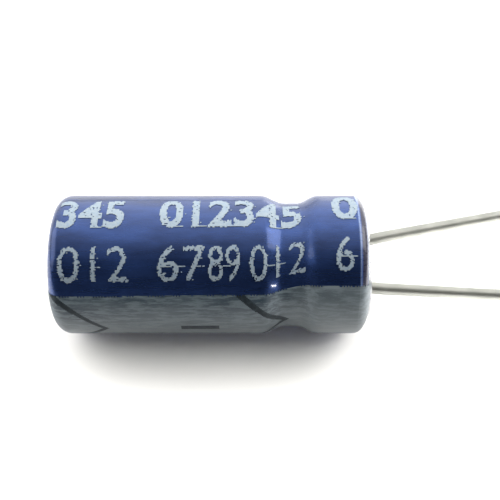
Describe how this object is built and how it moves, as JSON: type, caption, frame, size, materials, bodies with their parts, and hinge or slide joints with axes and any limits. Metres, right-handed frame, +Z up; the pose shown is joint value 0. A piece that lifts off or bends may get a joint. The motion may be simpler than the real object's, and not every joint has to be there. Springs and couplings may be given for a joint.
{
  "type": "electrolytic capacitor",
  "caption": "Radial aluminium electrolytic capacitor lying on its side: beaded can in a shrunk film sleeve with a polarity stripe, rubber bung, wound element and long wire leads.",
  "frame": {"origin": "on the can's axis, in the plane of the can's open rim, midway between the leads", "axes": "+X along the can's axis out of its open end, the way the leads leave; +Z up, with the part lying on its side"},
  "size_m": [0.0323, 0.0109, 0.0052],
  "materials": {
    "sleeve_film": "smooth dark blue shrunk film with a soft gloss",
    "stripe_ink": "streaky grey-green print",
    "can_aluminium": "drawn, satin",
    "bung_rubber": "matte moulded rubber",
    "anode_etched": "etched, matte grey",
    "cathode_etched": "etched, matte",
    "separator_paper": "thin kraft paper soaked with electrolyte",
    "roll_tape": "thin film tape",
    "tab_aluminium": "smooth",
    "tinned_wire": "bright tin plating on copper-clad steel"
  },
  "bodies": {
    "root": {"sleeve": "sleeve_film", "polarity_stripe": "stripe_ink", "can": "can_aluminium", "bung": "bung_rubber", "anode_foil": "anode_etched", "cathode_foil": "cathode_etched", "separator_inner": "separator_paper", "separator_outer": "separator_paper", "winding_tape": "roll_tape", "positive_tab": "tab_aluminium", "negative_tab": "tab_aluminium", "positive_lead": "tinned_wire", "negative_lead": "tinned_wire"}
  },
  "joints": []
}
